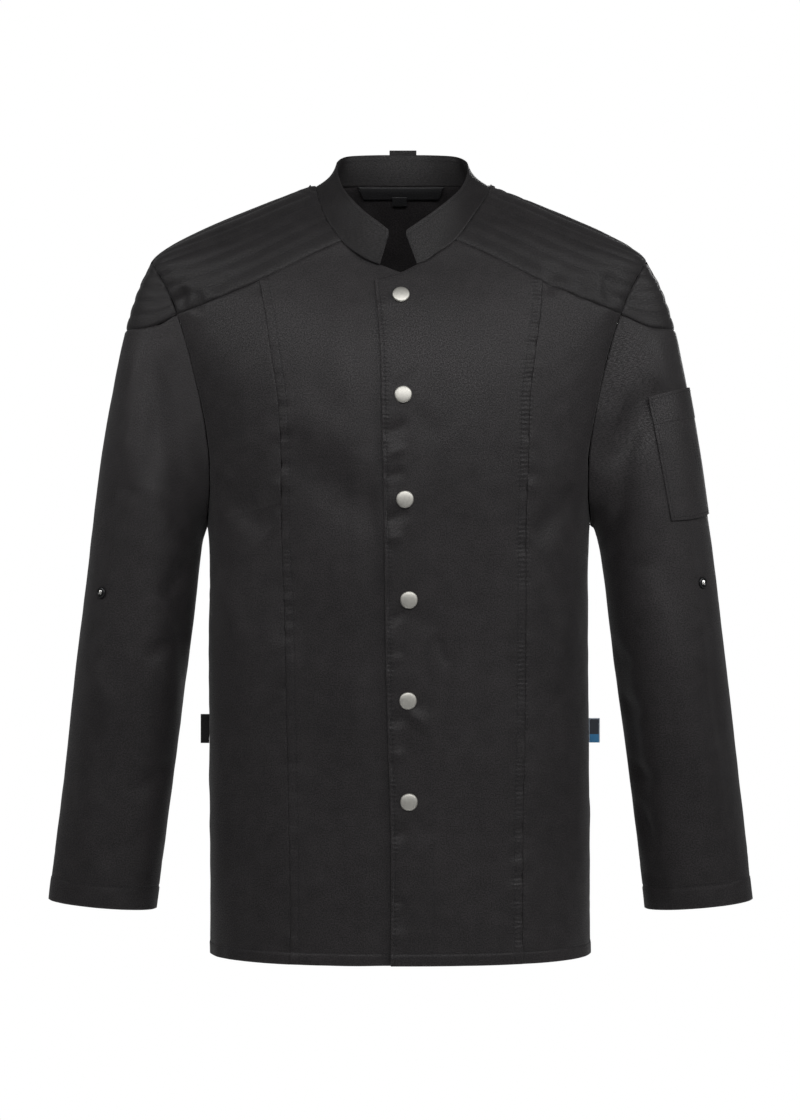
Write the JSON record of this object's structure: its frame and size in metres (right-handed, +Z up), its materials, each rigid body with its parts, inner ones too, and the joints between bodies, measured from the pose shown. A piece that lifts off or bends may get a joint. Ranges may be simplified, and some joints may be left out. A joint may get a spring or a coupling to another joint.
{
  "type": "chef jacket",
  "caption": "Long-sleeved chef jacket with a stand collar, snap front, quilted shoulder yokes and a sleeve pen pocket, hollow as worn.",
  "frame": {"origin": "at the base of the neck, in the middle between the shoulders, where the wearer's shoulders hold the jacket", "axes": "+Z up, -Y is the front of the jacket, +X is the wearer's left"},
  "size_m": [0.6989, 0.237, 0.8069],
  "materials": {
    "cloth": "black cotton and polyester twill, soft sheen",
    "quilted_cloth": "the same twill, doubled and stitched in rows",
    "label": "woven satin label, bare",
    "side_tag": "woven satin tag in plain blue and black",
    "snap_metal": "antique silver snap caps, satin",
    "stud_metal": "black lacquered studs with a bright spring"
  },
  "bodies": {
    "root": {"front_left_side": "cloth", "front_left_centre": "cloth", "front_right_centre": "cloth", "front_right_side": "cloth", "back": "cloth", "yoke_left": "quilted_cloth", "yoke_right": "quilted_cloth", "sleeve_left": "cloth", "sleeve_right": "cloth", "sleeve_cap_left": "quilted_cloth", "sleeve_cap_right": "quilted_cloth", "collar": "cloth", "collar_loop": "cloth", "neck_label": "label", "size_tag": "label", "side_tag_left": "label", "side_tag_right": "side_tag", "sleeve_pocket": "cloth", "sleeve_pocket_band": "cloth", "snap_1": "snap_metal", "snap_2": "snap_metal", "snap_3": "snap_metal", "snap_4": "snap_metal", "snap_5": "snap_metal", "snap_6": "snap_metal", "sleeve_stud_left": "stud_metal", "sleeve_stud_right": "stud_metal"}
  },
  "joints": []
}
